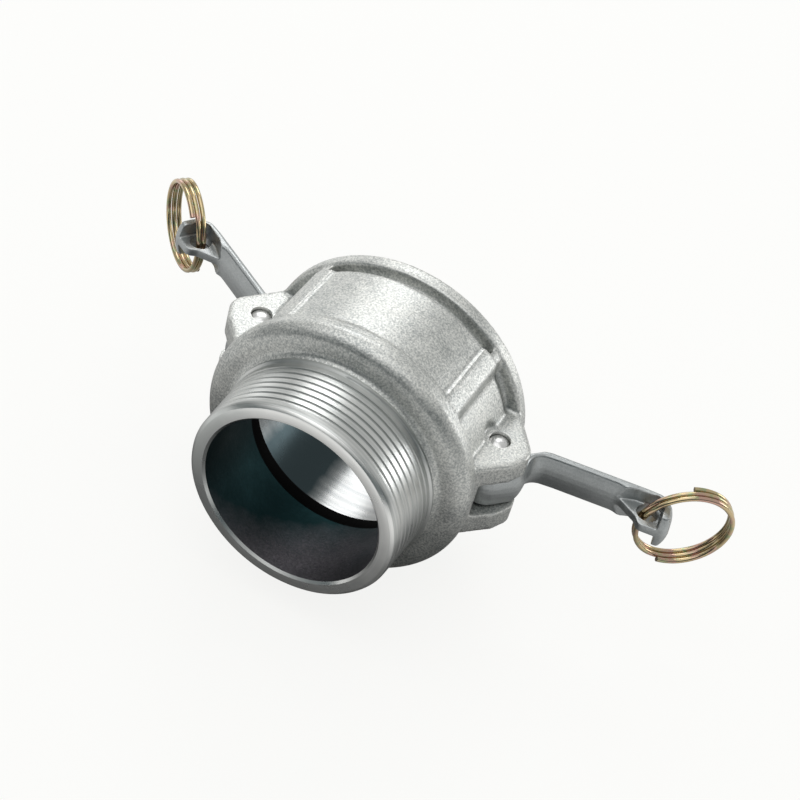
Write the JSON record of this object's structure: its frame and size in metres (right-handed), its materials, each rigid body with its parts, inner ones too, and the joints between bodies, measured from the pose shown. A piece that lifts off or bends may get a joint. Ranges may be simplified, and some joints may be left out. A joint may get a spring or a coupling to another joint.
{
  "type": "cam and groove coupler",
  "caption": "Cam and groove hose coupler: a round socket with two cam arms on pins, finger rings and a gasket, cast in one with a male taper pipe thread.",
  "frame": {"origin": "centre of the pipe thread's end face, on the flow axis", "axes": "+Y along the flow axis towards the socket's mouth, +X towards the right-hand cam arm, +Z along the cam pins, up"},
  "size_m": [0.2797, 0.1296, 0.114],
  "materials": {
    "cast_aluminium": "blasted cast surface, with machined bore, socket and thread",
    "arm_aluminium": "satin grey cast surface",
    "pin_steel": "bright",
    "yellow_plated_wire": "yellow zinc plated steel wire, bright",
    "gasket_rubber": "plain black"
  },
  "bodies": {
    "body": {"coupler_body": "cast_aluminium", "gasket": "gasket_rubber", "cam_pin_left": "pin_steel", "cam_pin_right": "pin_steel"},
    "arm_left": {"cam_arm_left": "arm_aluminium"},
    "arm_right": {"cam_arm_right": "arm_aluminium"},
    "ring_left": {"finger_ring_left": "yellow_plated_wire"},
    "ring_right": {"finger_ring_right": "yellow_plated_wire"}
  },
  "joints": [
    {"name": "cam_arm_left_hinge", "type": "hinge", "parent": "body", "child": "arm_left", "pos_m": [-0.0536, 0.0638, 0], "axis": [0, 0, 1], "range_deg": [-4, 120.1]},
    {"name": "cam_arm_right_hinge", "type": "hinge", "parent": "body", "child": "arm_right", "pos_m": [0.0536, 0.0638, 0], "axis": [0, 0, -1], "range_deg": [-23.7, 100.4]},
    {"name": "finger_ring_left_swing", "type": "hinge", "parent": "arm_left", "child": "ring_left", "pos_m": [-0.10391, 0.10244, 0], "axis": [0, 0, 1], "range_deg": [-12, 60]},
    {"name": "finger_ring_right_swing", "type": "hinge", "parent": "arm_right", "child": "ring_right", "pos_m": [0.11399, 0.08322, 0], "axis": [0, 0, -1], "range_deg": [-24.5, 47.5]}
  ]
}
